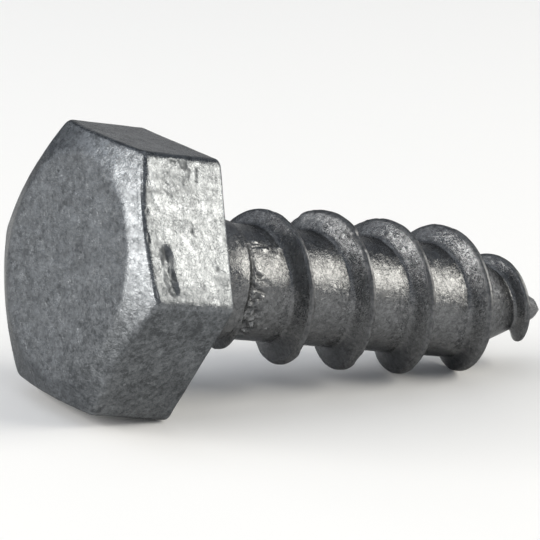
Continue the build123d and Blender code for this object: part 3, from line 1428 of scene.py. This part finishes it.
@dataclass
class Screw:
    """The whole screw, forged and rolled in one piece and dipped in zinc."""

    pose: RestPose
    columns: Columns = field(default_factory=Columns)
    head: HexHead = field(default_factory=HexHead)
    shank: ThreadedShank = field(default_factory=ThreadedShank)
    head_finish: ZincFinish = ZincFinish("head_zinc")
    thread_finish: ZincFinish = THREAD_ZINC

    def skin(self, piece: bpy.types.Object, finish: bpy.types.Material) -> bpy.types.Mesh:
        """Run the shank's tree on the head's shell.

        Args:
            piece: The object that holds the shell.
            finish: The material of the shank.

        Returns:
            The whole skin, as a plain mesh.
        """
        tree = self.shank.tree(self.columns, finish)
        modifier = piece.modifiers.new("Threaded shank", "NODES")
        modifier.node_group = tree
        names = {s.name: s.identifier for s in tree.interface.items_tree if s.in_out == "INPUT"}
        for name, value in self.shank.inputs().items():
            modifier[names[name]] = float(value)
        bpy.context.view_layer.update()
        graph = bpy.context.evaluated_depsgraph_get()
        skin = bpy.data.meshes.new_from_object(piece.evaluated_get(graph))
        piece.modifiers.clear()
        return skin

    def build(self) -> bpy.types.Object:
        """Build the screw's skin and lay it down.

        Returns:
            The finished piece.
        """
        effects = Effects()
        head_zinc = self.head_finish.material(effects, self.pose)
        thread_zinc = self.thread_finish.material(effects, self.pose)
        shell = self.head.mesh(self.columns)
        shell.materials.append(head_zinc)
        piece = bpy.data.objects.new("galvanised_screw", shell)
        bpy.context.scene.collection.objects.link(piece)
        piece.data = self.skin(piece, thread_zinc)
        Weathering(self.head, self.shank).press(piece.data)
        piece.data.transform(self.pose.place)
        piece.data.shade_smooth()
        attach(piece, "root")
        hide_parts("lag_screw")
        return piece


@dataclass(frozen=True)
class Floor:
    """The wide pale floor. Its size is in metres."""

    half: float = 3.0
    albedo: float = 0.885
    roughness: float = 0.9

    def build(self) -> None:
        """Lay the floor at Z = 0."""
        mesh = bpy.data.meshes.new("floor")
        signs = ((-1, -1), (1, -1), (1, 1), (-1, 1))
        corners = [(x * self.half, y * self.half, 0) for x, y in signs]
        mesh.from_pydata(corners, [], [(0, 1, 2, 3)])
        floor = bpy.data.objects.new("floor", mesh)
        bpy.context.scene.collection.objects.link(floor)
        material = bpy.data.materials.new("pale_floor")
        material.use_nodes = True
        shader = material.node_tree.nodes["Principled BSDF"]
        shader.inputs["Base Color"].default_value = (*(self.albedo,) * 3, 1.0)
        shader.inputs["Roughness"].default_value = self.roughness
        mesh.materials.append(material)


@dataclass(frozen=True)
class Softbox:
    """A rectangular lamp that faces the screw.

    Attributes:
        name: The lamp's name.
        azimuth: Where it stands round the screw, in degrees from +X towards +Y.
        height: Its angle above the floor.
        span: How wide and how high it looks from the screw, in degrees.
        radiance: How bright its face looks, where 1 is white.
        colour: Its tint.
        distance: How far away it is, in metres.
        aim: The height of the place that it faces, in metres.
    """

    name: str
    azimuth: float
    height: float
    span: tuple[float, float]
    radiance: float
    colour: Colour
    distance: float = 0.5
    aim: float = 0.008

    def build(self) -> None:
        """Hang the lamp."""
        data = bpy.data.lights.new(self.name, "AREA")
        data.shape = "RECTANGLE"
        data.size, data.size_y = (
            2 * self.distance * math.tan(math.radians(angle / 2)) for angle in self.span
        )
        data.energy = self.radiance * math.pi * data.size * data.size_y
        data.color = self.colour
        lamp = bpy.data.objects.new(self.name, data)
        bpy.context.scene.collection.objects.link(lamp)
        turn = Euler((math.radians(90 - self.height), 0, math.radians(90 + self.azimuth)))
        direction = turn.to_matrix() @ Vector((0, 0, 1))
        lamp.location = Vector((0, 0, self.aim)) + direction * self.distance
        lamp.rotation_euler = turn


@dataclass(frozen=True)
class Camera:
    """The long-lens camera a little above the floor, in front of the head.

    Its place, and the nearest distance that it sees, are in metres.
    """

    sensor_width: float = 36.0
    lens: float = 255.5
    shift: tuple[float, float] = (-0.0083, -0.0149)
    nearest: float = 0.01
    place: Point = (-0.135060, -0.202341, 0.069069)
    turn: Point = (75.9065, -4.0355, -32.2344)

    def build(self) -> None:
        """Set the camera up and look through it."""
        data = bpy.data.cameras.new("camera")
        data.sensor_width, data.lens = self.sensor_width, self.lens
        data.shift_x, data.shift_y = self.shift
        data.clip_start = self.nearest
        camera = bpy.data.objects.new("camera", data)
        camera.location = self.place
        camera.rotation_euler = Euler(map(math.radians, self.turn))
        bpy.context.scene.collection.objects.link(camera)
        bpy.context.scene.camera = camera


@dataclass(frozen=True)
class Studio:
    """Floor, lamps, the dim room round them, and the camera."""

    floor: Floor = Floor()
    camera: Camera = Camera()
    room: Colour = (0.18, 0.202, 0.238)
    lamps: tuple[Softbox, ...] = (
        Softbox("key", -37, 29, (37, 39), 6.2, (1.0, 0.955, 0.86)),
        Softbox("rim", 168, 20, (46, 39), 6.0, (1.0, 0.972, 0.925)),
        Softbox("fill", 124, 20, (38, 36), 0.95, (0.98, 0.99, 1.0)),
        Softbox("side", 54, 14, (44, 26), 0.6, (1.0, 0.97, 0.92)),
        Softbox("far", 6, 13, (34, 22), 1.6, (1.0, 0.98, 0.95)),
        Softbox("front", 232, 30, (56, 40), 0.36, (0.98, 0.99, 1.0)),
        Softbox("top", 90, 80, (50, 50), 0.55, (0.97, 0.99, 1.0)),
    )

    def build(self) -> None:
        """Set up everything round the screw."""
        self.floor.build()
        for lamp in self.lamps:
            lamp.build()
        world = bpy.data.worlds.new("room")
        bpy.context.scene.world = world
        world.use_nodes = True
        world.node_tree.nodes["Background"].inputs["Color"].default_value = (*self.room, 1.0)
        self.camera.build()
        bpy.context.scene.view_settings.view_transform = "Standard"


def main() -> None:
    """Build the screw and the studio."""
    logging.basicConfig(level=logging.INFO, format="%(name)s: %(message)s")
    head = HexHead()
    pose = RestPose.from_record(frame["record"], head.height)
    piece = Screw(pose, head=head).build()
    LOG.info("%s: %d faces", piece.name, len(piece.data.polygons))
    studio = Studio()
    studio.build()
    LOG.info("studio: floor, camera and %d lamps", len(studio.lamps))


if __name__ == "__main__":
    main()
